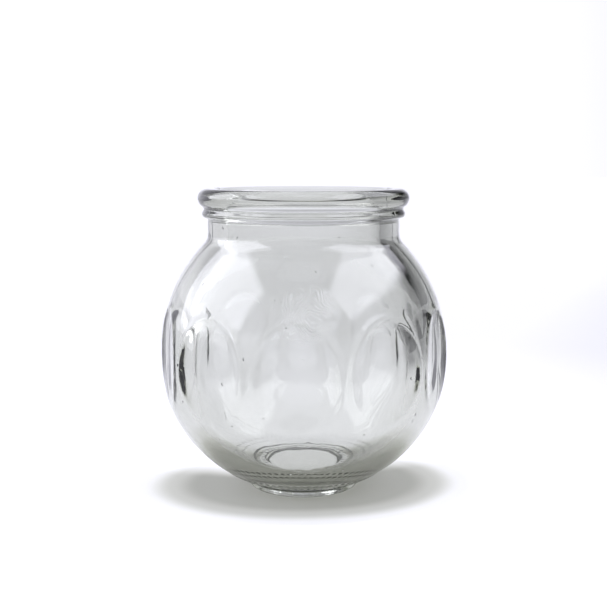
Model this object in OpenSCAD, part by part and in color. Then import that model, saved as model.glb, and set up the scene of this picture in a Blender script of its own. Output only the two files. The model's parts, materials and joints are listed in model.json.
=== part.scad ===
// Fire-cupping glass: one piece of pressed and blown soda-lime glass.
// A round bowl with a ring of shallow thumb ovals stands on a small foot, and a
// short neck carries a thin collar and a heavy rounded rim round the mouth.
// Millimetres. The axis of the glass is Z, and the foot stands on Z = 0.

/* [Bowl] */
// Height from the table to the top of the rim
cup_h = 92; // [88:0.5:110]
// Radius of the bowl at its widest
belly_r = 44; // [42:0.5:46]
// Height of the widest place
belly_z = 41; // [39:0.5:43]
// Radius of the arc that shapes the bowl below its widest place
lower_arc_r = 41; // [40:0.5:42]
// Radius of the arc that shapes the bowl above its widest place
upper_arc_r = 50; // [46:0.5:54]
// Thickness of the glass in the bowl and the neck
wall = 5.6; // [4:0.1:6.5]
// Height of the bowl's floor above the table
floor_h = 8.5; // [7:0.25:11]

/* [Neck and rim] */
// Outer radius of the neck
neck_r = 29; // [27.5:0.25:30]
// Radius of the hollow curve between the bowl and the neck
shoulder_fillet = 4; // [2.5:0.25:5]
// How far the collar stands out from the neck
collar_out = 1.85; // [1.25:0.05:2.5]
// Height of the collar, with its half-round edge
collar_h = 2.4; // [1.6:0.1:2.5]
// Height of the groove between the collar and the rim
groove_h = 0.6; // [0.3:0.1:1.5]
// How far the groove stands out from the neck
groove_out = 1; // [0.5:0.1:1.2]
// How far the rim stands out from the neck
rim_out = 3.05; // [2.8:0.05:4]
// Height of the rim, with its half-round edge
rim_h = 5.7; // [4.5:0.1:6]
// Radius of the rounded lip on the inner side of the rim
lip_round = 4.6; // [3:0.1:5]

/* [Foot] */
// Radius of the foot
foot_r = 17; // [15:0.25:20]
// Rounding of the foot's lower edge
foot_round = 0.8; // [0.3:0.1:1.2]
// Width of the flat ring that the glass stands on
bearing_w = 3.6; // [2.5:0.1:5]
// Height of the hollow under the foot
push_up = 1.6; // [0.8:0.1:2.5]

/* [Thumb ovals] */
// Number of ovals around the bowl, even because a mould in halves makes them
oval_count = 10; // [8:2:10]
// Width of an oval, straight across
oval_w = 23.6; // [18:0.2:24]
// How far an oval is hollowed below a flat facet of the same width
oval_dip = 1; // [0.6:0.05:1.4]

/* [Hidden] */
$fn = 128;
glass_colour = [0.84, 0.88, 0.86, 0.45];
spare = 1; // how far a cutter reaches past the glass that it leaves
bite = 0.01; // how far two rounded forms run into each other, so that they meet in one clean edge

// The two arcs of the bowl meet upright at the belly, so their centres are level with it
lower_c = [belly_r - lower_arc_r, belly_z];
upper_c = [belly_r - upper_arc_r, belly_z];

// The shoulder's hollow curve touches the neck, and the upper arc of the bowl
shoulder_reach = upper_arc_r + shoulder_fillet - bite;
shoulder_r = neck_r + shoulder_fillet;
shoulder_z = belly_z + sqrt(pow(shoulder_reach, 2) - pow(shoulder_r - upper_c[0], 2));
shoulder_c = [shoulder_r, shoulder_z];
shoulder_low = belly_z + (shoulder_z - belly_z) * (upper_arc_r - bite / 2) / shoulder_reach;

// The inner face follows the outer one at the thickness of the wall
bore_r = neck_r - wall;
inner_lower_r = lower_arc_r - wall;
inner_upper_r = upper_arc_r - wall;
inner_shoulder_r = shoulder_fillet + wall;
inner_low = belly_z + (shoulder_z - belly_z) * (inner_upper_r - bite / 2) / shoulder_reach;

// The rim, the groove and the collar hang from the top, and the neck fills what is left
rim_z = cup_h - rim_h;
groove_z = rim_z - groove_h;
collar_z = groove_z - collar_h;
lip_z = cup_h - lip_round;
lip_r = bore_r + lip_round;

// The hollow under the foot is a shallow cap of a ball
bearing_r = foot_r - foot_round - bearing_w;
push_up_ball = (pow(bearing_r, 2) + pow(push_up, 2)) / (2 * push_up);

// An oval is cut by an upright cylinder that stands beside the bowl
oval_sagitta = belly_r - sqrt(pow(belly_r, 2) - pow(oval_w / 2, 2));
oval_depth = oval_sagitta + oval_dip;
oval_cutter_r = (pow(oval_w / 2, 2) + pow(oval_dip, 2)) / (2 * oval_dip);
oval_face = belly_r - oval_depth;
oval_step = 360 / oval_count;
// A quarter step from the front, so that the bowl is as broad along X as along Y
first_oval = -90 - oval_step / 4;

// A level band of a profile, from the axis out to radius r
module band(r, z_low, z_high) {
    polygon([[0, z_low], [r, z_low], [r, z_high], [0, z_high]]);
}

// A level band whose outer edge is part of a circle
module arc_band(centre, r, z_low, z_high) {
    intersection() {
        translate(centre)
            circle(r);
        band(centre[0] + r + spare, z_low, z_high);
    }
}

// A level band up to a circle that hollows its outer edge, below the circle's centre or above it
module hollow_band(centre, r, z_low, z_high) {
    difference() {
        band(centre[0], z_low, z_high);
        translate(centre)
            circle(r);
    }
}

// The part of a circle that rounds off a band's outer edge, outside radius centre[0]
module round_edge(centre, r, z_low, z_high) {
    intersection() {
        translate(centre)
            circle(r);
        translate([centre[0], z_low])
            square([r + spare, z_high - z_low]);
    }
}

// A level band with a half-round outer edge that reaches radius r
module rounded_band(r, z_low, z_high) {
    edge_r = (z_high - z_low) / 2;
    band(r - edge_r, z_low, z_high);
    round_edge([r - edge_r, z_low + edge_r], edge_r, z_low, z_high);
}

// The foot reaches up into the bowl, whose arc ends on its side
module foot_profile() {
    band(foot_r - foot_round, 0, foot_round);
    round_edge([foot_r - foot_round, foot_round], foot_round, 0, foot_round);
    band(foot_r, foot_round, belly_z);
}

module bowl_profile() {
    arc_band(lower_c, lower_arc_r, foot_round, belly_z);
    arc_band(upper_c, upper_arc_r, belly_z, shoulder_z);
}

module neck_profile() {
    hollow_band(shoulder_c, shoulder_fillet, shoulder_low, shoulder_z);
    band(neck_r, shoulder_z, collar_z);
}

module rim_profile() {
    rounded_band(neck_r + collar_out, collar_z, groove_z);
    band(neck_r + groove_out, groove_z, rim_z);
    rounded_band(neck_r + rim_out, rim_z, cup_h);
}

// What is hollow: the bowl, the neck and the flare of the lip
module inside_profile() {
    arc_band(lower_c, inner_lower_r, floor_h, belly_z);
    arc_band(upper_c, inner_upper_r, belly_z, shoulder_z);
    hollow_band(shoulder_c, inner_shoulder_r, inner_low, shoulder_z);
    band(bore_r, shoulder_z, lip_z);
    hollow_band([lip_r, lip_z], lip_round, lip_z, cup_h);
    band(lip_r, cup_h, cup_h + spare);
}

module underside_profile() {
    translate([0, push_up - push_up_ball])
        circle(push_up_ball);
}

module turned_glass() {
    rotate_extrude()
        difference() {
            union() {
                foot_profile();
                bowl_profile();
                neck_profile();
                rim_profile();
            }
            inside_profile();
            underside_profile();
        }
}

// The slice of the upright cylinder that makes one oval, on the +X side
module oval_cutter() {
    linear_extrude(height = cup_h)
        intersection() {
            translate([oval_face + oval_cutter_r, 0])
                circle(oval_cutter_r);
            translate([oval_face - spare, -oval_w / 2 - spare / 2])
                square([oval_depth + 2 * spare, oval_w + spare]);
        }
}

module glass_cup() {
    color(glass_colour)
        difference() {
            turned_glass();
            for (i = [0:oval_count - 1])
                rotate(first_oval + i * oval_step)
                    oval_cutter();
        }
}

glass_cup();
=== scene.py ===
# %% [markdown]
# A cupping glass is a thick round jar of clear glass. A flame warms the air in it, the
# rim is set on the skin, and the cooling air draws the skin in. It is one moulded piece,
# so the whole look comes from one closed surface and one material: light that bends
# through a wall several millimetres thick, and highlights on its polished skin.
#
# The first cell loads the frame of the part and measures the box of its plain solid. The
# finished surface has to stay inside that box.

# %% Load the frame
import json

import bpy
import numpy as np
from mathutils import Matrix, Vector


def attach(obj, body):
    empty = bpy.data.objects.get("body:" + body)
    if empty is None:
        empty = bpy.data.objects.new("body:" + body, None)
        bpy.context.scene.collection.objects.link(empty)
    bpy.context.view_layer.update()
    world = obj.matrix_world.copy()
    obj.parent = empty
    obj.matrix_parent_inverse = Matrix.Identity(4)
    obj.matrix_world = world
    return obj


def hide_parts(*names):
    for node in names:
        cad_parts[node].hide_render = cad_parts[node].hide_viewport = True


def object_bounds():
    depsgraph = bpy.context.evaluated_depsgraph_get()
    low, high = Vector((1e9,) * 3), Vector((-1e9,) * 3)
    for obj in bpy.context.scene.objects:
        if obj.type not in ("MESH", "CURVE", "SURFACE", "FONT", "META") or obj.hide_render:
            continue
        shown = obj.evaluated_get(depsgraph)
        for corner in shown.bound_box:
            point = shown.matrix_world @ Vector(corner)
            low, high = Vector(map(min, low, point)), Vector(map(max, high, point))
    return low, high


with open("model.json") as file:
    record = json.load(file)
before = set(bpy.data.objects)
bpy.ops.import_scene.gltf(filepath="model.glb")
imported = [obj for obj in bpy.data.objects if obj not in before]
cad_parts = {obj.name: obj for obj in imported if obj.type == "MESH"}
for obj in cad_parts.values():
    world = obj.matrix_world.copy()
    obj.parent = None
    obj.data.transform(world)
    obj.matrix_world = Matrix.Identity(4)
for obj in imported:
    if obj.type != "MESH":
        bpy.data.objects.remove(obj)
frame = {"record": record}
cad_low, cad_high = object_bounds()
print("frame box in mm:", [round(1000 * (b - a), 2) for a, b in zip(cad_low, cad_high)])

# %% [markdown]
# The sizes are in millimetres and are turned into metres only when the mesh is made.
# The height and the mouth are read from the frame, and the rest are the arcs that a glass
# maker would draw: one for the lower bowl, one for the upper bowl, one for the shoulder.

# %% Sizes of the bowl and the neck
MM = 0.001
mounts = {mount["name"]: mount for mount in frame["record"]["mounts"]}
cup_height = (cad_high.z - cad_low.z) / MM
mouth_radius = mounts["mouth"]["dims"]["r_mm"]
wall = 5.6
neck_radius = mouth_radius + wall
belly_radius = 44.0
belly_height = 41.0
lower_arc_radius = 41.0
upper_arc_radius = 50.0
shoulder_radius = 4.0
floor_height = 8.5
floor_fillet = 5.0
print("height", round(cup_height, 2), "mouth radius", mouth_radius, "neck radius", neck_radius)

# %% [markdown]
# The smaller forms are a collar, a groove and a heavy rounded rim at the top, a low foot
# with a ring to stand on, and ten shallow ovals round the bowl. Each radius near the rim
# is given as a step out from the neck, so the rim follows if the neck changes. Angles
# round the axis count from +X, so the front, which looks along -Y, is at -90 degrees. The
# first oval stands a quarter of a step to the left of the front.

# %% Sizes of the rim, the foot and the ovals
collar_out = 1.85
collar_edge = 1.2
groove_out = 1.0
groove_height = 0.6
rim_out = 3.05
rim_edge = 2.85
lip_edge = 4.6
collar_radius = neck_radius + collar_out
groove_radius = neck_radius + groove_out
rim_radius = neck_radius + rim_out
foot_radius = 17.0
foot_edge = 0.8
bearing_width = 3.6
push_up = 1.6
oval_count = 10
oval_width = 23.6
oval_dip = 1.0
front = -90
first_oval = np.radians(front - 360 / oval_count / 4)
print("rim radius", round(rim_radius, 2), "first oval at", round(np.degrees(first_oval), 1), "degrees")

# %% [markdown]
# A turned form is a profile carried round an axis. The profile runs in one unbroken line:
# from the middle of the underside out over the foot, up the outside, over the rim, down
# the inside, and across the floor back to the axis. It could be drawn by hand as a curve,
# but arcs and straight stretches laid end to end keep every radius a plain number.

# %% Arcs and lines of the profile
SAMPLE = 0.05


def line(start, end):
    """Points from start to end at even steps: start plus a share of the way to end."""
    start, end = np.array(start), np.array(end)
    count = max(2, int(np.linalg.norm(end - start) / SAMPLE))
    return start + np.linspace(0, 1, count)[:, None] * (end - start)


def arc(centre, radius, start, end):
    """Points on a circle from one angle to another: centre plus radius times cosine and sine."""
    turn = np.radians([start, end])
    count = max(2, int(abs(turn[1] - turn[0]) * radius / SAMPLE))
    angle = np.linspace(turn[0], turn[1], count)
    return np.array(centre) + radius * np.column_stack([np.cos(angle), np.sin(angle)])


def angle_at_height(centre_height, radius, height):
    """The angle right of a circle's centre where it reaches a height: arcsine of rise over radius."""
    return np.degrees(np.arcsin((height - centre_height) / radius))


print("a profile point every", SAMPLE, "mm before the rows are chosen")

# %% [markdown]
# Where two arcs flow into each other, their centres and the place where they touch lie on
# one line. The two arcs of the bowl touch at its widest place, so both centres lie at that
# height. The shoulder is hollow: its centre is as far from the bowl's centre as both radii
# together, and one shoulder radius out from the neck.

# %% Centres of the arcs
lower_centre = (belly_radius - lower_arc_radius, belly_height)
upper_centre = (belly_radius - upper_arc_radius, belly_height)
shoulder_reach = upper_arc_radius + shoulder_radius
shoulder_side = neck_radius + shoulder_radius - upper_centre[0]
shoulder_angle = np.degrees(np.arccos(shoulder_side / shoulder_reach))
shoulder_height = belly_height + shoulder_reach * np.sin(np.radians(shoulder_angle))
shoulder_centre = (neck_radius + shoulder_radius, shoulder_height)
foot_top = belly_height - np.sqrt(lower_arc_radius**2 - (foot_radius - lower_centre[0]) ** 2)
rim_centre = (rim_radius - rim_edge, cup_height - rim_edge)
collar_height = cup_height - 2 * rim_edge - groove_height - collar_edge
collar_centre = (collar_radius - collar_edge, collar_height)
lip_centre = (mouth_radius + lip_edge, cup_height - lip_edge)
print("shoulder meets the bowl at", round(shoulder_angle, 1), "degrees")
print("foot ends at a height of", round(foot_top, 2), "mm")

# %% [markdown]
# The ring that the glass stands on carries small raised dots, which keep hot glass off a
# cold conveyor. Their tops are the lowest points of the glass, so the ring between them
# lies a dot's height up. The heel, just outside the foot, and the band with the ovals are
# stretches of their own, because small forms need closer rows.

# %% Where the stretches meet
dot_height = 0.3
push_up_slope = 1.4
heel_reach = 26.5
oval_heights = (23.0, 60.0)
bearing_radius = foot_radius - foot_edge - bearing_width
bearing_start = (bearing_radius, dot_height)
push_up_roof = bearing_radius - push_up_slope
foot_edge_centre = (foot_radius - foot_edge, foot_edge + dot_height)
heel_angle = -np.degrees(np.arccos((foot_radius - lower_centre[0]) / lower_arc_radius))
heel_top = -np.degrees(np.arccos((heel_reach - lower_centre[0]) / lower_arc_radius))
oval_low = angle_at_height(belly_height, lower_arc_radius, oval_heights[0])
oval_high = angle_at_height(belly_height, upper_arc_radius, oval_heights[1])
collar_low = collar_height - collar_edge
groove_low = np.degrees(np.arccos((groove_radius - collar_centre[0]) / collar_edge))
groove_high = -np.degrees(np.arccos((groove_radius - rim_centre[0]) / rim_edge))
floor_rise = belly_height - floor_height - floor_fillet
fillet_reach = lower_arc_radius - wall - floor_fillet
floor_angle = -np.degrees(np.arcsin(floor_rise / fillet_reach))
floor_flat = lower_centre[0] + np.sqrt(fillet_reach**2 - floor_rise**2)
print("floor is flat to a radius of", round(floor_flat, 2), "mm")

# %% [markdown]
# Each stretch has the name of its zone, its points, and the spacing of its rows in
# millimetres. Later cells use the zone to decide what a row carries, such as dots or ovals.

# %% The profile from the underside to the floor
stretches = [
    ("push_up", line((0, push_up), (push_up_roof, push_up)), 1.6),
    ("push_up", line((push_up_roof, push_up), bearing_start), 0.4),
    ("bearing", line(bearing_start, (foot_edge_centre[0], dot_height)), 0.25),
    ("foot", arc(foot_edge_centre, foot_edge, -90, 0), 0.35),
    ("foot", line((foot_radius, foot_edge_centre[1]), (foot_radius, foot_top)), 0.45),
    ("lower_bowl", arc(lower_centre, lower_arc_radius, heel_angle, heel_top), 0.52),
    ("lower_bowl", arc(lower_centre, lower_arc_radius, heel_top, oval_low), 1.25),
    ("lower_bowl", arc(lower_centre, lower_arc_radius, oval_low, 0), 0.6),
    ("upper_bowl", arc(upper_centre, upper_arc_radius, 0, oval_high), 0.6),
    ("upper_bowl", arc(upper_centre, upper_arc_radius, oval_high, shoulder_angle), 1.2),
    ("neck", arc(shoulder_centre, shoulder_radius, 180 + shoulder_angle, 180), 0.5),
    ("neck", line((neck_radius, shoulder_height), (neck_radius, collar_low)), 0.9),
    ("rim", line((neck_radius, collar_low), (collar_centre[0], collar_low)), 0.3),
    ("rim", arc(collar_centre, collar_edge, -90, groove_low), 0.32),
    ("rim", arc(rim_centre, rim_edge, groove_high, 90), 0.42),
    ("rim", line((rim_centre[0], cup_height), (lip_centre[0], cup_height)), 0.5),
    ("lip", arc(lip_centre, lip_edge, 90, 180), 0.5),
    ("bore", line((mouth_radius, lip_centre[1]), (mouth_radius, shoulder_height)), 1.2),
    ("bore", arc(shoulder_centre, shoulder_radius + wall, 180, 180 + shoulder_angle), 0.9),
    ("inner_bowl", arc(upper_centre, upper_arc_radius - wall, shoulder_angle, 0), 1.8),
    ("inner_bowl", arc(lower_centre, lower_arc_radius - wall, 0, floor_angle), 1.8),
    ("floor", arc((floor_flat, floor_height + floor_fillet), floor_fillet, floor_angle, -90), 0.9),
    ("floor", line((floor_flat, floor_height), (0, floor_height)), 1.6),
]
print("profile of", len(stretches), "stretches")

# %% [markdown]
# Sharp corners look wrong on glass that came out of the fire, where the surface flows.
# A bevel could round them one by one. Averaging each point of the profile with its near
# neighbours rounds every corner at once, as fire polishing does, and leaves the long arcs
# almost as they were.

# %% Fire-polish the profile
polish = 0.35


def averaged(values, reach, ends):
    """Each value becomes a bell-weighted mean of its neighbours, the bell cut off at four reaches.

    Past both ends the values are mirrored and multiplied by ends: -1 for a radius, which changes
    sign across the axis, and 1 for a height, which does not.
    """
    half = int(4 * reach / SAMPLE)
    offset = np.arange(-half, half + 1) * SAMPLE
    weight = np.exp(-0.5 * (offset / reach) ** 2)
    padded = np.concatenate([ends * values[half:0:-1], values, ends * values[-2:-half - 2:-1]])
    return np.convolve(padded, weight / weight.sum(), mode="valid")


sharp = np.concatenate([points for _, points, _ in stretches])
dense_radius = averaged(sharp[:, 0], polish, -1)
dense_height = averaged(sharp[:, 1], polish, 1)
along = np.concatenate([[0], np.cumsum(np.hypot(np.diff(dense_radius), np.diff(dense_height)))])
print("profile of", round(along[-1], 1), "mm in", len(along), "points")

# %% [markdown]
# The dense profile has thousands of points, far more than a mesh needs. Adding up the
# length divided by the wanted spacing counts the rows, and even steps of that count put
# the rows close together only where a form is small.

# %% Choose the rows
spacing_blend = 1.0
zones = np.concatenate([np.full(len(points), name, dtype="U12") for name, points, _ in stretches])
spacing = np.concatenate([np.full(len(points), step) for _, points, step in stretches])
smooth_spacing = averaged(spacing, spacing_blend, 1)
crowding = np.concatenate([[0], np.cumsum(np.diff(along) / smooth_spacing[1:])])
row_count = int(round(crowding[-1])) + 1
row_along = np.interp(np.linspace(0, crowding[-1], row_count), crowding, along)
row_radius = np.interp(row_along, along, dense_radius)
row_height = np.interp(row_along, along, dense_height)
row_zone = zones[np.clip(np.searchsorted(along, row_along), 0, len(zones) - 1)]
print("rows", row_count)

# %% [markdown]
# The thumb ovals are where a mould pressed the bowl in. Each is a shallow hollow, straight
# from top to bottom and rounded from side to side, so it is the bowl cut by an upright
# cylinder that stands beside it. A Boolean modifier could cut it, but a formula for where
# a ray from the axis meets the cylinder gives a clean grid and an edge that can be softened.

# %% The cylinder that cuts an oval
oval_step = 2 * np.pi / oval_count
oval_sagitta = belly_radius - np.sqrt(belly_radius**2 - (oval_width / 2) ** 2)
oval_cutter = ((oval_width / 2) ** 2 + oval_dip**2) / (2 * oval_dip)
oval_face = belly_radius - oval_sagitta - oval_dip


def off_oval(turn):
    """The signed angle from the middle of the nearest oval."""
    return (turn - first_oval + oval_step / 2) % oval_step - oval_step / 2


def cutter_radius(turn):
    """How far out a ray from the axis meets the upright cylinder.

    For a cylinder of radius R at a distance c, and a ray at an angle a to it, this is c cos a less
    the root of R squared less the square of c sin a.
    """
    centre = oval_face + oval_cutter
    away = off_oval(turn)
    return centre * np.cos(away) - np.sqrt(oval_cutter**2 - (centre * np.sin(away)) ** 2)


print("a full oval is", round(oval_sagitta + oval_dip, 2), "mm deep")
print("its cutter has a radius of", round(oval_cutter, 1), "mm")

# %% [markdown]
# Molten glass leaves no sharp edge, so a soft minimum joins the bowl and the cutter. The
# ovals are a little shallower than the full cut, and they fade out towards the foot,
# between two heights. A faint bead runs along each edge, with a shallow dip on both sides
# of it. It catches a thin line of light, and its top stays no higher than the plain bowl.

# %% Ovals with soft edges
oval_softness = 0.3
oval_bead = 0.22
oval_bead_width = 0.5
oval_moat_width = 2.5
oval_fill = 0.85
oval_run_out = (24.0, 42.0)


def soft_minimum(a, b, softness):
    """The lesser of two surfaces, blended by a parabola where they lie within softness of each other."""
    share = np.clip(0.5 + 0.5 * (b - a) / softness, 0, 1)
    return b + (a - b) * share - softness * share * (1 - share)


def with_ovals(plain, turn, height):
    """The plain radius less a share of the depth of the oval and of the dip beside its edge.

    The share eases from nought to one between the run-out heights. The dip is a wide bell of the
    gap between the two surfaces less a narrow bell, so it is nought on the edge itself.
    """
    low, high = oval_run_out
    up = np.clip((height - low) / (high - low), 0, 1)
    share = up**2 * (3 - 2 * up)
    cutter = cutter_radius(turn)
    gap = plain - cutter
    wide = np.exp(-((gap / oval_moat_width) ** 2))
    narrow = np.exp(-((gap / oval_bead_width) ** 2))
    dip = oval_bead * (wide - narrow)
    return plain - share * (oval_fill * (plain - soft_minimum(plain, cutter, oval_softness)) + dip)


print("ovals fade in from", oval_run_out[0], "to", oval_run_out[1], "mm above the table")

# %% [markdown]
# The mould pushes the soft wall in as a whole, so the inside follows each oval, but
# smoothly, as a thick blanket follows a pebble under it. The inside could be modelled as
# ovals of its own. A blur of a map of the outer ovals is simpler and always fits them.

# %% The ovals as the inside feels them
blanket = 8.0
column_count = 360
map_step = 0.5
map_low, map_high = 20, 62
turns = first_oval + np.linspace(0, 2 * np.pi, column_count, endpoint=False)[None, :]


def bowl_radius(height):
    """The outer radius of the plain bowl: the centre's radius plus the root of R^2 less the squared rise."""
    rise = (height - belly_height) ** 2
    low = lower_centre[0] + np.sqrt(np.maximum(lower_arc_radius**2 - rise, 0))
    high = upper_centre[0] + np.sqrt(np.maximum(upper_arc_radius**2 - rise, 0))
    return np.where(height < belly_height, low, high)


def blurred(field, reach_up, reach_round):
    """A bell-weighted mean over both directions, made by damping each wave by exp(-(k reach)^2 / 2)."""
    waves_up = 2 * np.pi * np.fft.fftfreq(field.shape[0])[:, None]
    waves_round = 2 * np.pi * np.fft.fftfreq(field.shape[1])[None, :]
    damping = np.exp(-0.5 * ((waves_up * reach_up) ** 2 + (waves_round * reach_round) ** 2))
    return np.fft.ifft2(np.fft.fft2(field) * damping).real


map_heights = np.arange(2.0, 80.0, map_step)
plain = bowl_radius(map_heights)[:, None]
oval_map = plain - with_ovals(plain, turns, map_heights[:, None])
oval_map[map_heights > map_high] = 0
oval_map[map_heights < map_low] = 0
column_width = 2 * np.pi * belly_radius / column_count
inner_map = blurred(oval_map, blanket / map_step, blanket / column_width)
print("ovals", round(oval_map.max(), 2), "mm deep outside and", round(inner_map.max(), 2), "inside")

# %% [markdown]
# A row on the inside belongs to the place on the outside that lies square across the wall
# from it. Both bowls are circles about the same centre, so the height above that centre
# grows with the radius of the circle, and the map is read at the height so found.

# %% Imprint of the ovals on the inside


def imprint(height):
    """The inner map at the height outside that lies square across the wall, between its two nearest rows."""
    arc_radius = np.where(height < belly_height, lower_arc_radius, upper_arc_radius)
    across = belly_height + (height - belly_height) * arc_radius / (arc_radius - wall)
    spot = np.clip((across - map_heights[0]) / map_step, 0, len(map_heights) - 2)
    low = np.floor(spot).astype(int)
    share = (spot - low)[:, None]
    return inner_map[low] * (1 - share) + inner_map[low + 1] * share


print("imprint at the belly up to", round(imprint(np.array([belly_height])).max(), 2), "mm")

# %% [markdown]
# Blown glass is never quite even. Slow waves of up to a tenth of a millimetre on the free
# inner surface, and less on the moulded outside, make things seen through the wall swim.
# A noise texture would only tilt the light, so the waves are put into the shape. They are
# sines of whole turns, so they close on themselves, with phases from a fixed seed.

# %% Slow roll of the surface
inner_roll = 0.1
outer_roll = 0.035
inner_seed = 4
outer_seed = 9
calm_heights = (12.0, 45.0)
calm_levels = (0.2, 1.0)
roll_waves = [(3, 0.06), (4, 0.13), (7, 0.09), (9, 0.21), (13, 0.17), (2, 0.31)]


def roll(turn, height, seed):
    """The mean of sines of whole turns plus radians for each millimetre of height plus a seeded phase."""
    draw = np.random.default_rng(seed)
    phases = draw.uniform(0, 2 * np.pi, len(roll_waves))
    waves = (np.sin(k * turn + m * height + p) for (k, m), p in zip(roll_waves, phases))
    return sum(waves) / len(roll_waves)


print("roll of", len(roll_waves), "waves, calmer towards the floor of the bowl")

# %% [markdown]
# Two halves of a mould leave a fine upright ridge on each side of the glass, and the tool
# that finishes the neck and the rim leaves rings too fine to feel. Both are small changes
# of the radius, so they are functions of the place on the surface, added to it later.

# %% Seam and tool rings
seam_height = 0.1
seam_width = 0.45
seam_turn = first_oval + 2.5 * oval_step
rim_rings = 0.02
neck_rings = 0.022
coarse_pitch = 2.9
fine_pitch = 1.7
coarse_share = 0.8


def seam(turn, radius):
    """A bell of the distance along the surface to the nearer of two seams, half a turn apart."""
    away = (turn - seam_turn + np.pi / 2) % np.pi - np.pi / 2
    return seam_height * np.exp(-((away * radius / seam_width) ** 2))


def tool_rings(height, turn):
    """Two sines of height, a fine and a coarse one, whose phases wander a little round the axis."""
    wander = 0.5 * np.sin(2 * turn) + 0.3 * np.sin(5 * turn + 1)
    fine = np.sin(2 * np.pi * height / fine_pitch + wander)
    return fine + coarse_share * np.sin(2 * np.pi * height / coarse_pitch - wander + 2)


print("seams", seam_height, "mm high, rings", rim_rings, "mm on the rim and", neck_rings, "on the neck")

# %% [markdown]
# There are two rows of dots on the bearing ring and two wider rows on the heel above it.
# Seen through the glass they are specks of light round the foot. Hundreds of separate
# domes would have to be joined to the surface. Here they are part of its height instead.

# %% Stippling
dot_rows = (13.5, 15.3)
dot_count = 48
dot_radius = 0.55
heel_rows = (22.0, 24.2)
heel_dot_count = 72
heel_dot_radius = 0.75
heel_dot_height = 0.25


def stipple(turn, radius, rows, count, size):
    """Domes in rings, each ring half a step on from the last.

    A dome's height is the root of one less the square of the distance from its middle over its size.
    """
    rise = np.zeros(np.broadcast(turn, radius).shape)
    step = 2 * np.pi / count
    for ring, ring_radius in enumerate(rows):
        away = (turn + ring * step / 2 + step / 2) % step - step / 2
        squared = (away * ring_radius) ** 2 + (radius - ring_radius) ** 2
        rise += np.clip(1 - squared / size**2, 0, 1)
    return np.sqrt(rise)


print(len(dot_rows) * dot_count, "dots on the ring and", len(heel_rows) * heel_dot_count, "on the heel")

# %% [markdown]
# Now the profile is carried round. Every array has one row for each point of the profile
# and one column for each step round the axis, so the whole surface is worked out at once.
# A Spin or Screw modifier would turn the profile too, but could not vary it on the way.

# %% Rows that carry each form


def zone_weight(*names):
    """One on the rows of the named zones and nought elsewhere, with a soft edge over a few rows."""
    here = np.isin(row_zone, names).astype(float)
    kernel = np.array([1, 2, 3, 2, 1]) / 9
    return np.convolve(np.pad(here, 2, mode="edge"), kernel, mode="valid")[:, None]


outside = zone_weight("foot", "lower_bowl", "upper_bowl", "neck")
inside = zone_weight("bore", "inner_bowl")
bowl_rows = np.isin(row_zone, ("lower_bowl", "upper_bowl"))
print("rows with ovals", bowl_rows.sum())

# %% [markdown]
# The forms are laid on in the order in which the glass would get them: the ovals of the
# mould, the inside with its imprint and roll, the seam, the rings of the tool, and the dots.

# %% The surface of the glass
radius = row_radius[:, None] + np.zeros_like(turns)
height = row_height[:, None] + np.zeros_like(turns)
radius[bowl_rows] = with_ovals(radius[bowl_rows], turns, height[bowl_rows])
calm = np.interp(height, calm_heights, calm_levels)
inner_waves = inside * calm * inner_roll * roll(turns, height, inner_seed)
radius = radius - inside * imprint(row_height) + inner_waves
ridge = outside * seam(turns, radius)
radius = radius - outside * outer_roll * (1 + roll(turns, height, outer_seed)) / 2 + ridge
ring_height = rim_rings * zone_weight("rim") + neck_rings * zone_weight("neck")
radius = radius + ring_height * tool_rings(height, turns)
ring_dots = stipple(turns, radius, dot_rows, dot_count, dot_radius)
height = height - zone_weight("bearing") * dot_height * ring_dots
heel_dots = stipple(turns, radius, heel_rows, heel_dot_count, heel_dot_radius)
height = height - zone_weight("lower_bowl") * heel_dot_height * heel_dots
surface = np.stack([radius * np.cos(turns), radius * np.sin(turns), height], axis=-1) * MM
print("surface", surface.shape, "lowest", round(height.min(), 3), "highest", round(height.max(), 3))

# %% [markdown]
# The first and the last row lie on the axis, so each becomes one point and a fan of
# triangles. Everything between is four-sided, and the last column joins the first, so the
# mesh is closed and light knows which side is glass.

# %% A closed mesh from the grid


def turned_mesh(name, grid):
    """A closed mesh of a turned surface: rings of quads between two poles, wound to look outwards."""
    rows, columns = grid.shape[:2]
    rings = grid[1:-1].reshape(-1, 3)
    poles = np.array([grid[0].mean(axis=0), grid[-1].mean(axis=0)])
    points = np.vstack([rings, poles])
    across = np.arange(columns)
    beside = np.roll(across, -1)
    start = np.arange(rows - 3)[:, None] * columns
    above = start + columns
    quads = np.stack([start + across, start + beside, above + beside, above + across], axis=-1)
    first, last = len(rings), len(rings) + 1
    end = (rows - 3) * columns
    fan_low = np.column_stack([np.full(columns, first), beside, across])
    fan_high = np.column_stack([np.full(columns, last), end + across, end + beside])
    faces = quads.reshape(-1, 4).tolist() + fan_low.tolist() + fan_high.tolist()
    mesh = bpy.data.meshes.new(name)
    mesh.from_pydata(points.tolist(), [], faces)
    mesh.shade_smooth()
    mesh.update()
    return mesh


glass = bpy.data.objects.new("cup_glass", turned_mesh("cup_glass", surface))
bpy.context.scene.collection.objects.link(glass)
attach(glass, "root")
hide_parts("glass_cup")
triangles = sum(len(face.vertices) - 2 for face in glass.data.polygons)
print("glass mesh:", len(glass.data.vertices), "points,", triangles, "triangles")

# %% [markdown]
# A material is a graph of nodes. Two small helpers keep the graphs short to write: one
# makes a node and sets its inputs by name, the other makes a math node whose inputs are
# either numbers or the outputs of other nodes.

# %% Helpers for shader nodes
VECTOR = "ShaderNodeVectorMath"
NUMBER_OPERATIONS = ("DOT_PRODUCT", "LENGTH", "DISTANCE")


def node(tree, kind, place, **values):
    """A new shader node at a place on the board, with named inputs set to constants."""
    made = tree.nodes.new(kind)
    made.location = place
    for name, value in values.items():
        made.inputs[name.replace("_", " ")].default_value = value
    return made


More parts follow.
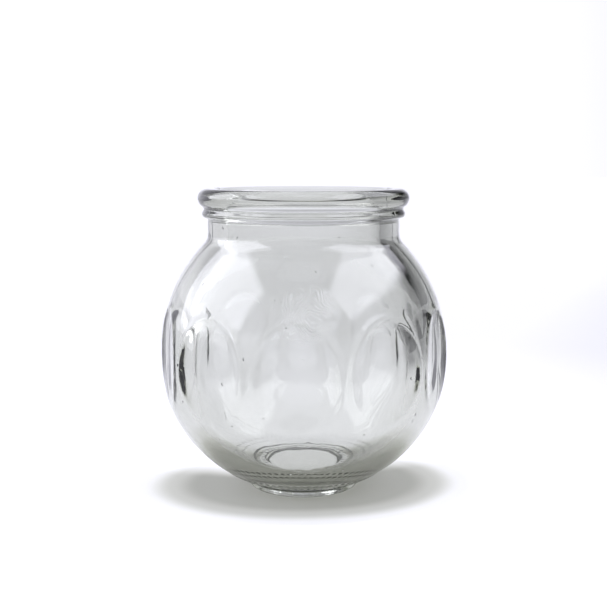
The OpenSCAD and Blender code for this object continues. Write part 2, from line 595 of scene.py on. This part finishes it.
def maths(tree, operation, place, *values, kind="ShaderNodeMath"):
    """A math node with its inputs linked to sockets or set to constants, and its result."""
    made = tree.nodes.new(kind)
    made.operation = operation
    made.location = place
    for slot, value in zip(made.inputs, values):
        if isinstance(value, bpy.types.NodeSocket):
            tree.links.new(value, slot)
        else:
            slot.default_value = value
    gives_number = kind != VECTOR or operation in NUMBER_OPERATIONS
    return made.outputs["Value" if gives_number else "Vector"]


print("vector operations that give a number:", NUMBER_OPERATIONS)

# %% [markdown]
# Even clear glass has a skin that varies. Faint cords, where the melt was not quite mixed,
# change its colour by a few hundredths. Smears from handling make it a little less glossy
# in patches. Both are noise over the object's own coordinates, so they stay with the glass.

# %% Cords and smears
cord_scale = 70.0
cord_tint = (0.965, 0.97, 0.965)
smear_scale = 180.0
smear_range = (0.45, 0.75)
smear_roughest = 0.03


def cord_colour(tree, place):
    """A colour between a very pale tint and white by a distorted noise."""
    cords = node(tree, "ShaderNodeTexNoise", (-480, 260), Scale=cord_scale, Detail=2.0, Distortion=1.5)
    tint = node(tree, "ShaderNodeValToRGB", (-120, 260))
    tint.color_ramp.elements[0].color = (*cord_tint, 1)
    tint.color_ramp.elements[1].color = (1, 1, 1, 1)
    tree.links.new(place, cords.inputs["Vector"])
    tree.links.new(cords.outputs["Fac"], tint.inputs["Fac"])
    return tint.outputs["Color"]


def smear_roughness(tree, place):
    """A roughness of nought that rises evenly to the roughest where a fine noise is high."""
    smears = node(tree, "ShaderNodeTexNoise", (-480, -20), Scale=smear_scale, Detail=4.0)
    start, end = smear_range
    gloss = node(tree, "ShaderNodeMapRange", (-120, -20), From_Min=start, From_Max=end)
    gloss.inputs["To Max"].default_value = smear_roughest
    tree.links.new(place, smears.inputs["Vector"])
    tree.links.new(smears.outputs["Fac"], gloss.inputs["Value"])
    return gloss.outputs["Result"]


print("cords about", round(1 / cord_scale / MM), "mm across, smears", round(1 / smear_scale / MM))

# %% [markdown]
# A slight orange peel breaks up mirrored edges, and a few seeds, which are small bubbles
# caught in the glass, show as specks. They are too small to be worth mesh points, so a
# bump tilts the light instead. Each bump takes the last one's result and adds to it.

# %% Orange peel and seeds
peel_scale = 260.0
seed_scale = 125.0
seed_edge = (0.055, 0.025)


def peel_bump(tree, place):
    """The normal tilted by a fine, smooth noise."""
    peel = node(tree, "ShaderNodeTexNoise", (-480, -300), Scale=peel_scale, Detail=1.0)
    bump = node(tree, "ShaderNodeBump", (160, -300), Strength=0.12, Distance=0.0002)
    tree.links.new(place, peel.inputs["Vector"])
    tree.links.new(peel.outputs["Fac"], bump.inputs["Height"])
    return bump.outputs["Normal"]


def seed_bump(tree, place, normal):
    """The normal tilted by small domes where the distance to a Voronoi point is short."""
    seeds = node(tree, "ShaderNodeTexVoronoi", (-480, -560), Scale=seed_scale)
    outer, inner = seed_edge
    dots = node(tree, "ShaderNodeMapRange", (-120, -560), From_Min=outer, From_Max=inner)
    bump = node(tree, "ShaderNodeBump", (380, -300), Strength=0.6, Distance=0.0003)
    tree.links.new(place, seeds.inputs["Vector"])
    tree.links.new(seeds.outputs["Distance"], dots.inputs["Value"])
    tree.links.new(dots.outputs["Result"], bump.inputs["Height"])
    tree.links.new(normal, bump.inputs["Normal"])
    return bump.outputs["Normal"]


print("peel about", round(1 / peel_scale / MM, 1), "mm across, seed cells", round(1 / seed_scale / MM))

# %% [markdown]
# A glass that has been handled has a finger mark on it. Its ridges are a sine of the
# distance from one spot on the bowl. A noise shifts the sine, so that the rings turn into
# whorls, and a soft patch of a few millimetres keeps them to one place.

# %% Finger mark
mark_centre = (-0.003, -0.040, 0.059)
mark_edge = (0.0095, 0.0045)
mark_ridges = 7000.0
mark_whorls = 110.0
whorl_scale = 110.0


def mark_bump(tree, place, normal):
    """The normal tilted by a patch times the sine of ridges times distance plus whorls times noise."""
    near = maths(tree, "DISTANCE", (-700, -820), place, mark_centre, kind=VECTOR)
    whorl = node(tree, "ShaderNodeTexNoise", (-480, -1000), Scale=whorl_scale, Detail=1.0)
    tree.links.new(place, whorl.inputs["Vector"])
    shift = maths(tree, "MULTIPLY", (-480, -900), whorl.outputs["Fac"], mark_whorls)
    phase = maths(tree, "MULTIPLY_ADD", (-300, -900), near, mark_ridges, shift)
    lines = maths(tree, "SINE", (-120, -900), phase)
    outer, inner = mark_edge
    patch = node(tree, "ShaderNodeMapRange", (-300, -760), From_Min=outer, From_Max=inner)
    tree.links.new(near, patch.inputs["Value"])
    touch = maths(tree, "MULTIPLY", (60, -820), patch.outputs["Result"], lines)
    bump = node(tree, "ShaderNodeBump", (560, -520), Strength=0.5, Distance=0.0001)
    tree.links.new(touch, bump.inputs["Height"])
    tree.links.new(normal, bump.inputs["Normal"])
    return bump.outputs["Normal"]


print("finger mark at", mark_centre, "m")

# %% [markdown]
# Clear soda-lime glass bends light by an index of about 1.52 and takes a little of it on
# the way, a little more of the blue and the red than of the green. Long paths through the
# heel and the edges so turn a dark grey-green, while the thin middle stays clear. That is
# absorption in the volume. A tint painted on the skin would be the same at every depth.

# %% Glass material
glass_index = 1.52
glass_absorption = (0.487, 0.503, 0.42)
glass_density = 70.0


def clear_glass():
    """A transmitting skin with colour, roughness and bumps from noise, round an absorbing volume."""
    material = bpy.data.materials.new("clear_glass")
    material.use_nodes = True
    tree = material.node_tree
    tree.nodes.clear()
    out = node(tree, "ShaderNodeOutputMaterial", (900, 0))
    skin = node(tree, "ShaderNodeBsdfPrincipled", (560, 0), IOR=glass_index, Transmission_Weight=1.0)
    body = node(tree, "ShaderNodeVolumeAbsorption", (560, -420), Density=glass_density)
    body.inputs["Color"].default_value = (*glass_absorption, 1)
    place = node(tree, "ShaderNodeTexCoord", (-900, 0)).outputs["Object"]
    normal = mark_bump(tree, place, seed_bump(tree, place, peel_bump(tree, place)))
    tree.links.new(cord_colour(tree, place), skin.inputs["Base Color"])
    tree.links.new(smear_roughness(tree, place), skin.inputs["Roughness"])
    tree.links.new(normal, skin.inputs["Normal"])
    tree.links.new(skin.outputs["BSDF"], out.inputs["Surface"])
    tree.links.new(body.outputs["Volume"], out.inputs["Volume"])
    return material


glass.data.materials.append(clear_glass())
print("material", glass.data.materials[0].name)

# %% [markdown]
# The stage is a floor that glows by itself, as a lit white table would. Its own colour is
# a dark grey, so nearly all of its light is the glow, and no lamp is needed. The glow is a
# painted pool of light, given by pairs of millimetres from the axis and level. It is
# strongest under the foot, where the foot gathers light, dips a little under the bowl,
# where its shade falls, and falls off far from the glass.

# %% Painted pool of light by distance
# Painted light: levels of the floor's glow, brightest under the foot.
painted_light_pool = [
    (0, 1.3), (13, 1.25), (17, 1.12), (34, 1.12), (44, 1.24),
    (60, 1.22), (95, 1.2), (160, 1.06), (290, 0.94),
]


def by_distance(tree, place, distance, levels):
    """A brightness by a distance, eased between pairs of millimetres and level."""
    reach = levels[-1][0]
    share = maths(tree, "DIVIDE", (place[0] - 200, place[1]), distance, reach * MM)
    ramp = node(tree, "ShaderNodeValToRGB", place)
    ramp.color_ramp.interpolation = "EASE"
    stops = ramp.color_ramp.elements
    for _ in levels[2:]:
        stops.new(0.5)
    for stop, (stop_radius, level) in zip(stops, levels):
        stop.position, stop.color = stop_radius / reach, (level, level, level, 1)
    tree.links.new(share, ramp.inputs["Fac"])
    return ramp.outputs["Color"]


print("floor glow in", len(painted_light_pool), "steps")

# %% [markdown]
# A ring of painted shade, a contact shadow, lies where the bowl overhangs the floor. Clear
# glass casts little shadow from light that comes from all sides, so the shadow is painted
# into the glow. It lies in front and at the sides and fades out behind, and it gives the
# heel, which mirrors the floor, its dark band. The right side of the floor is also painted
# dimmer from some way off, where the light falls off towards the right.

# %% Painted shade of the floor
shade_stretch = (1.0, 1.35, 1.0)
# Painted shade: the glow drops in a ring round the foot, a painted contact shadow.
painted_floor_shade = [(0, 1.0), (14.5, 1.0), (16.5, 0.25), (33, 0.28), (41, 0.45), (50, 0.8), (64, 1.0)]
shade_fade = (0.25, 0.7)
# Painted light falloff: the glow drops on the right, far from the glass.
side_start = (0.5, 0.95)
side_reach = (0.12, 0.5)
side_loss = -0.6
side_level = 0.85


def unshaded(tree, place, from_axis):
    """One less the loss from the ring of painted shade, which counts in full in front and at the sides and
    not well behind.
    """
    stretched = maths(tree, "MULTIPLY", (-1300, -1200), place, shade_stretch, kind=VECTOR)
    ring_distance = maths(tree, "LENGTH", (-1100, -1200), stretched, kind=VECTOR)
    ring = by_distance(tree, (-600, -1200), ring_distance, painted_floor_shade)
    behind = maths(tree, "DOT_PRODUCT", (-1100, -900), place, (0, 1, 0), kind=VECTOR)
    start, end = shade_fade
    depth = node(tree, "ShaderNodeMapRange", (-600, -900), From_Min=start, From_Max=end)
    depth.inputs["To Min"].default_value = -1.0
    depth.inputs["To Max"].default_value = 0.0
    depth.interpolation_type = "SMOOTHSTEP"
    tree.links.new(maths(tree, "DIVIDE", (-900, -900), behind, from_axis), depth.inputs["Value"])
    lost = maths(tree, "SUBTRACT", (-300, 0), 1.0, ring)
    return maths(tree, "MULTIPLY_ADD", (-100, 0), lost, depth.outputs["Result"], 1.0)


def side_light(tree, place, from_axis):
    """A painted falloff of light: a level that drops towards the right, by how far right a place lies times
    how far off it is.
    """
    aside = maths(tree, "DOT_PRODUCT", (-1100, -300), place, (1, 0, 0), kind=VECTOR)
    start, end = side_start
    right = node(tree, "ShaderNodeMapRange", (-600, -300), From_Min=start, From_Max=end)
    tree.links.new(maths(tree, "DIVIDE", (-900, -300), aside, from_axis), right.inputs["Value"])
    near, far = side_reach
    away = node(tree, "ShaderNodeMapRange", (-600, -600), From_Min=near, From_Max=far, To_Max=side_loss)
    tree.links.new(from_axis, away.inputs["Value"])
    dim = maths(tree, "MULTIPLY", (-300, -300), right.outputs["Result"], away.outputs["Result"])
    return maths(tree, "ADD", (-100, -300), dim, side_level)


print("shade ring out to", painted_floor_shade[-1][0], "mm")

# %% [markdown]
# The colour of the glow moves with the painted shade, from a cool white in the open to a
# faint olive in the ring, painted as light that has come through the glass would be. A
# very faint mottle in the base colour keeps the floor from being perfectly even.

# %% Floor
floor_reach = 5.0
floor_glow = (1.0, 1.0, 1.1)
# Painted shade colour: a faint olive for the glow in the ring of painted shade.
painted_shade_glow = (1.0, 1.02, 0.86)
floor_tones = (0.1, 0.11)
floor_roughness = 0.9


def pale_floor():
    """A matt dark grey whose glow is its painted pool of light times what the painted shade and the dimmer
    right side leave of it.
    """
    material = bpy.data.materials.new("pale_floor")
    material.use_nodes = True
    tree = material.node_tree
    skin = tree.nodes["Principled BSDF"]
    skin.inputs["Roughness"].default_value = floor_roughness
    place = node(tree, "ShaderNodeTexCoord", (-1300, 0)).outputs["Object"]
    mottle = node(tree, "ShaderNodeTexNoise", (-600, 300), Scale=9.0, Detail=3.0)
    tone = node(tree, "ShaderNodeValToRGB", (-300, 300))
    for stop, level in zip(tone.color_ramp.elements, floor_tones):
        stop.color = (level, level, level, 1)
    tree.links.new(place, mottle.inputs["Vector"])
    tree.links.new(mottle.outputs["Fac"], tone.inputs["Fac"])
    tree.links.new(tone.outputs["Color"], skin.inputs["Base Color"])
    from_axis = maths(tree, "LENGTH", (-1100, 0), place, kind=VECTOR)
    # The glow is painted light: the pool, less the painted shade, times the dimmer right side.
    pool = by_distance(tree, (-600, 0), from_axis, painted_light_pool)
    remaining = unshaded(tree, place, from_axis)
    lit = maths(tree, "MULTIPLY", (100, 0), remaining, pool)
    strength = maths(tree, "MULTIPLY", (300, -100), lit, side_light(tree, place, from_axis))
    glow_colour = node(tree, "ShaderNodeValToRGB", (100, 300))
    glow_colour.color_ramp.elements[0].color = (*painted_shade_glow, 1)
    glow_colour.color_ramp.elements[1].color = (*floor_glow, 1)
    tree.links.new(remaining, glow_colour.inputs["Fac"])
    tree.links.new(glow_colour.outputs["Color"], skin.inputs["Emission Color"])
    tree.links.new(strength, skin.inputs["Emission Strength"])
    return material


corners = ((-1, -1), (1, -1), (1, 1), (-1, 1))
floor_points = [(x * floor_reach, y * floor_reach, 0) for x, y in corners]
floor_mesh = bpy.data.meshes.new("floor")
floor_mesh.from_pydata(floor_points, [], [(0, 1, 2, 3)])
floor_object = bpy.data.objects.new("floor", floor_mesh)
floor_object.data.materials.append(pale_floor())
bpy.context.scene.collection.objects.link(floor_object)
print("floor", 2 * floor_reach, "m across")

# %% [markdown]
# Clear glass shows its surroundings more than itself, so the studio is made of what the
# glass looks at. Windows are soft-edged rectangles of the sky. Area lamps would light the
# glass too, but patches of the sky are mirrored and seen through it with their full shape.

# %% Directions and soft patches


def facing(azimuth, elevation):
    """Unit vectors to a direction, to its right and to its top: sines and cosines of the two angles."""
    a, e = np.radians(azimuth), np.radians(elevation)
    ahead = (np.sin(a) * np.cos(e), -np.cos(a) * np.cos(e), np.sin(e))
    aside = (np.cos(a), np.sin(a), 0)
    above = (-np.sin(a) * np.sin(e), np.cos(a) * np.sin(e), np.cos(e))
    return ahead, aside, above


def soft_patch(tree, look, row, azimuth, elevation, spread, rise, edge, brightness):
    """Brightness inside a rectangle of the sky, falling smoothly to nought across its edge.

    The sideways and upright tangents of the direction are compared with the half-width and half-height.
    """
    ahead, aside, above = facing(azimuth, elevation)
    depth = maths(tree, "DOT_PRODUCT", (-900, row), look, ahead, kind=VECTOR)
    inside_patch = maths(tree, "GREATER_THAN", (-300, row), depth, 0.05)
    for step, (axis, angle) in enumerate(((aside, spread), (above, rise))):
        low = row - 150 * step - 150
        reach = maths(tree, "DOT_PRODUCT", (-900, low), look, axis, kind=VECTOR)
        share = maths(tree, "DIVIDE", (-700, low), reach, depth)
        size = maths(tree, "ABSOLUTE", (-500, low), share)
        half = float(np.tan(np.radians(angle / 2)))
        fade = node(tree, "ShaderNodeMapRange", (-300, low), From_Min=half + edge, From_Max=half - edge)
        fade.interpolation_type = "SMOOTHSTEP"
        tree.links.new(size, fade.inputs["Value"])
        inside_patch = maths(tree, "MULTIPLY", (-100, low), inside_patch, fade.outputs["Result"])
    return maths(tree, "MULTIPLY", (100, row), inside_patch, brightness)


print("straight ahead is", [round(float(x), 2) for x in facing(0, 0)[0]])

# %% [markdown]
# The sky is bright near the horizon and dimmer above, and a slope makes it brighter on the
# left. On it lie a wide window on the left, a high one on the right, and a soft dim corner
# low down at the right and behind. Each patch has an azimuth from the front, an elevation,
# a width and a height in degrees, the softness of its edge, and a brightness.

# %% Sky
sky_stops = [(0.15, 1.0), (0.3, 0.55), (1.0, 0.5)]
sky_slope = (-0.3, 0.12, 0.0)
sky_tint = (1.0, 1.0, 1.11)
sky_least = 0.02
sky_patches = [
    (-98, 31, 66, 50, 0.06, 3.0),
    (82, 48, 80, 34, 0.06, 2.5),
    (122, 8, 60, 34, 0.2, -0.5),
]


def studio_sky():
    """The brightness by height above the horizon, plus a slope, plus that of each patch, times one tint."""
    world = bpy.data.worlds.new("studio")
    world.use_nodes = True
    tree = world.node_tree
    look = node(tree, "ShaderNodeTexCoord", (-1300, 0)).outputs["Generated"]
    split = node(tree, "ShaderNodeSeparateXYZ", (-900, 300))
    ramp = node(tree, "ShaderNodeValToRGB", (-600, 300))
    ramp.color_ramp.elements.new(0.5)
    for stop, (place, level) in zip(ramp.color_ramp.elements, sky_stops):
        stop.position, stop.color = place, (level, level, level, 1)
    tree.links.new(look, split.inputs["Vector"])
    tree.links.new(split.outputs["Z"], ramp.inputs["Fac"])
    slope = maths(tree, "DOT_PRODUCT", (-600, 500), look, sky_slope, kind=VECTOR)
    total = maths(tree, "ADD", (100, 300), ramp.outputs["Color"], slope)
    for index, patch in enumerate(sky_patches):
        glow = soft_patch(tree, look, -100 - 600 * index, *patch)
        total = maths(tree, "ADD", (300 + 200 * index, 0), total, glow)
    total = maths(tree, "MAXIMUM", (1200, 0), total, sky_least)
    tinted = maths(tree, "SCALE", (1400, 0), sky_tint, kind=VECTOR)
    tree.links.new(total, tinted.node.inputs["Scale"])
    tree.links.new(tinted, tree.nodes["Background"].inputs["Color"])
    return world


bpy.context.scene.world = studio_sky()
print("sky of", len(sky_patches), "soft patches")

# %% [markdown]
# The camera stands where the picture was taken from: a third of a metre away and a little
# above the rim, looking slightly down. Its lens is given as a focal length in pixels of
# the picture, which is how a fit to an outline finds it, and is turned into millimetres.

# %% Camera
camera_distance = 0.320
camera_height = 0.1012
camera_pitch = 7.91
camera_turn = -6.35
frame_pixels = 607
focal_pixels = 1050
lens = bpy.data.cameras.new("camera")
lens.sensor_width = 36
lens.lens = lens.sensor_width * focal_pixels / frame_pixels
lens.clip_start = 0.01
camera = bpy.data.objects.new("camera", lens)
turn = np.radians(camera_turn)
camera.location = (camera_distance * np.sin(turn), -camera_distance * np.cos(turn), camera_height)
camera.rotation_euler = (np.radians(90 - camera_pitch), 0, turn)
bpy.context.scene.collection.objects.link(camera)
bpy.context.scene.camera = camera
print("camera at", [round(x, 4) for x in camera.location])

# %% [markdown]
# A ray that crosses a hollow glass meets four surfaces, and more when it is mirrored
# inside the wall. With too few bounces those paths end black, so the limits are raised.
# The Standard view shows the colours as they are, so that white stays white.

# %% View and light paths
scene = bpy.context.scene
scene.view_settings.view_transform = "Standard"
scene.cycles.max_bounces = 32
scene.cycles.transmission_bounces = 32
scene.cycles.glossy_bounces = 16
scene.cycles.blur_glossy = 0.0
print("light paths of up to", scene.cycles.max_bounces, "bounces")
